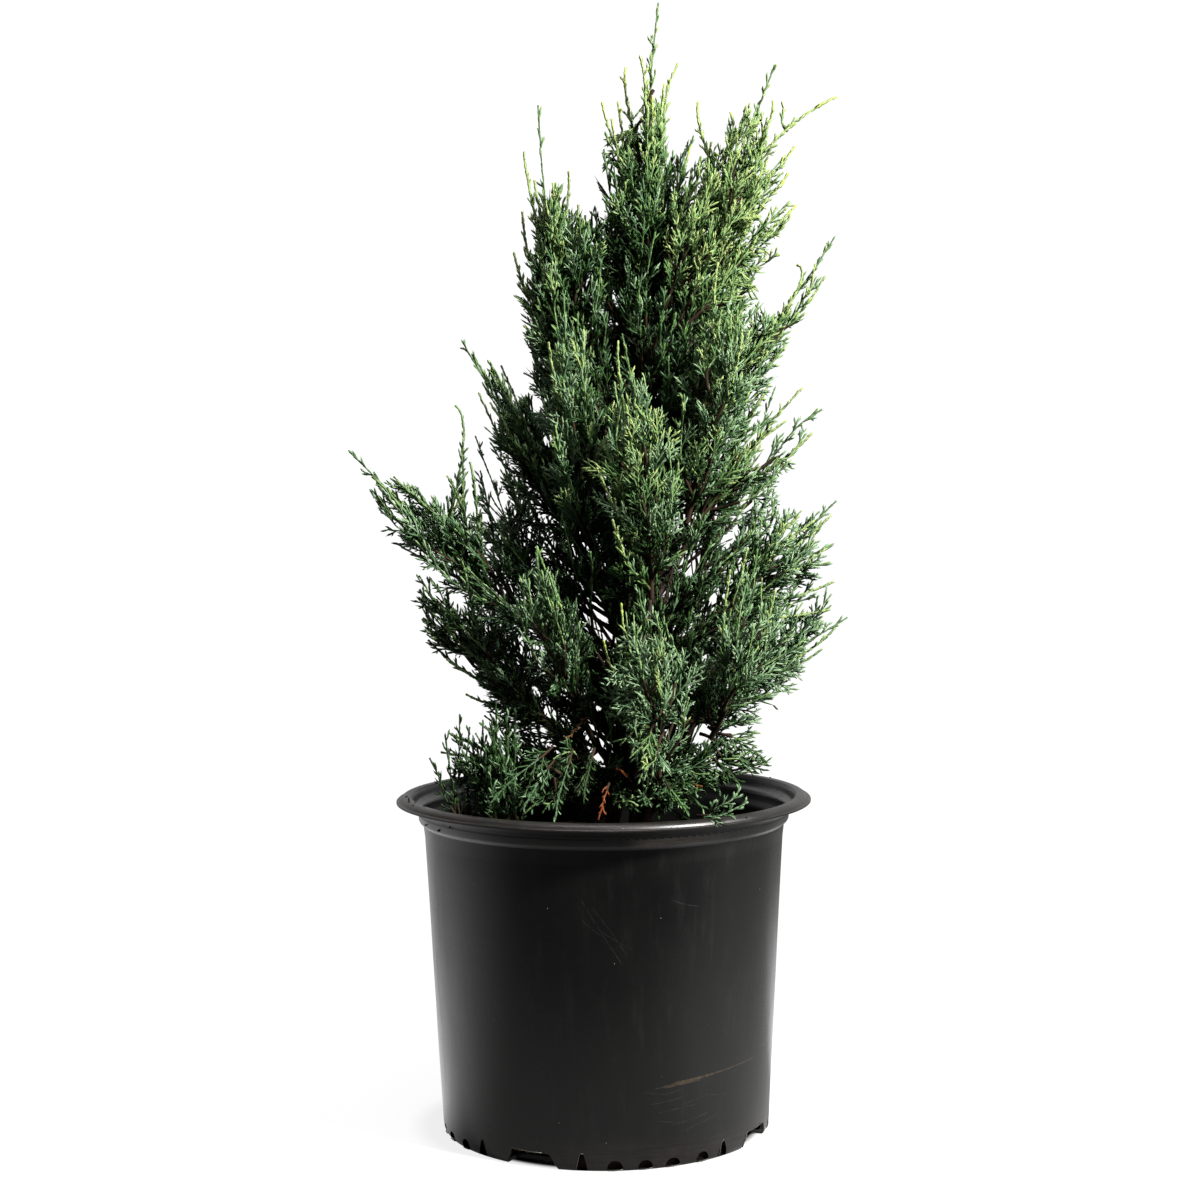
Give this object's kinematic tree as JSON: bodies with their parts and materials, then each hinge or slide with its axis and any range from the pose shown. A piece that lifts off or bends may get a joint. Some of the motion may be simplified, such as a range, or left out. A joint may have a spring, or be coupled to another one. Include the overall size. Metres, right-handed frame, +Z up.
{
  "type": "potted juniper",
  "caption": "Upright juniper with blue-green scale-leaf sprays on upswept boughs, growing in a round black nursery container with a rolled lip.",
  "frame": {"origin": "centre of the flat underside of the container, on the level it stands on", "axes": "+Z up along the plant's height; the picture's viewer looks along +Y, with +X to their right"},
  "size_m": [0.371, 0.313, 0.844],
  "materials": {
    "black_plastic": "black blow-moulded plastic, semi-matt, dusty on the lip, finely scratched",
    "growing_mix": "dark moist bark-based growing mix",
    "bark": "thin fibrous red-brown bark",
    "foliage": "blue-green scale leaves with yellow-green growing tips"
  },
  "bodies": {
    "root": {"bough_back_centre": "bark", "bough_back_left": "bark", "bough_back_low_left": "bark", "bough_back_low_right": "bark", "bough_back_right": "bark", "bough_far_left": "bark", "bough_front_high": "bark", "bough_front_left": "bark", "bough_front_low": "bark", "bough_left_low": "bark", "bough_left_mid": "bark", "bough_right_foot": "bark", "bough_right_high": "bark", "bough_right_low": "bark", "bough_right_mid": "bark", "bough_upper_right": "bark", "container": "black_plastic", "foliage_back_centre": "foliage", "foliage_back_high": "foliage", "foliage_back_leader": "foliage", "foliage_back_left": "foliage", "foliage_back_left_high": "foliage", "foliage_back_low_left": "foliage", "foliage_back_low_right": "foliage", "foliage_back_right": "foliage", "foliage_back_right_high": "foliage", "foliage_back_skirt": "foliage", "foliage_far_left": "foliage", "foliage_front_high": "foliage", "foliage_front_left": "foliage", "foliage_front_low": "foliage", "foliage_front_right_low": "foliage", "foliage_front_skirt": "foliage", "foliage_front_upper_left": "foliage", "foliage_front_upper_right": "foliage", "foliage_leader": "foliage", "foliage_left_low": "foliage", "foliage_left_mid": "foliage", "foliage_left_skirt": "foliage", "foliage_right_foot": "foliage", "foliage_right_high": "foliage", "foliage_right_low": "foliage", "foliage_right_mid": "foliage", "foliage_right_skirt": "foliage", "foliage_upper_left": "foliage", "foliage_upper_right": "foliage", "growing_mix": "growing_mix", "second_stem": "bark", "trunk": "bark"}
  },
  "joints": []
}
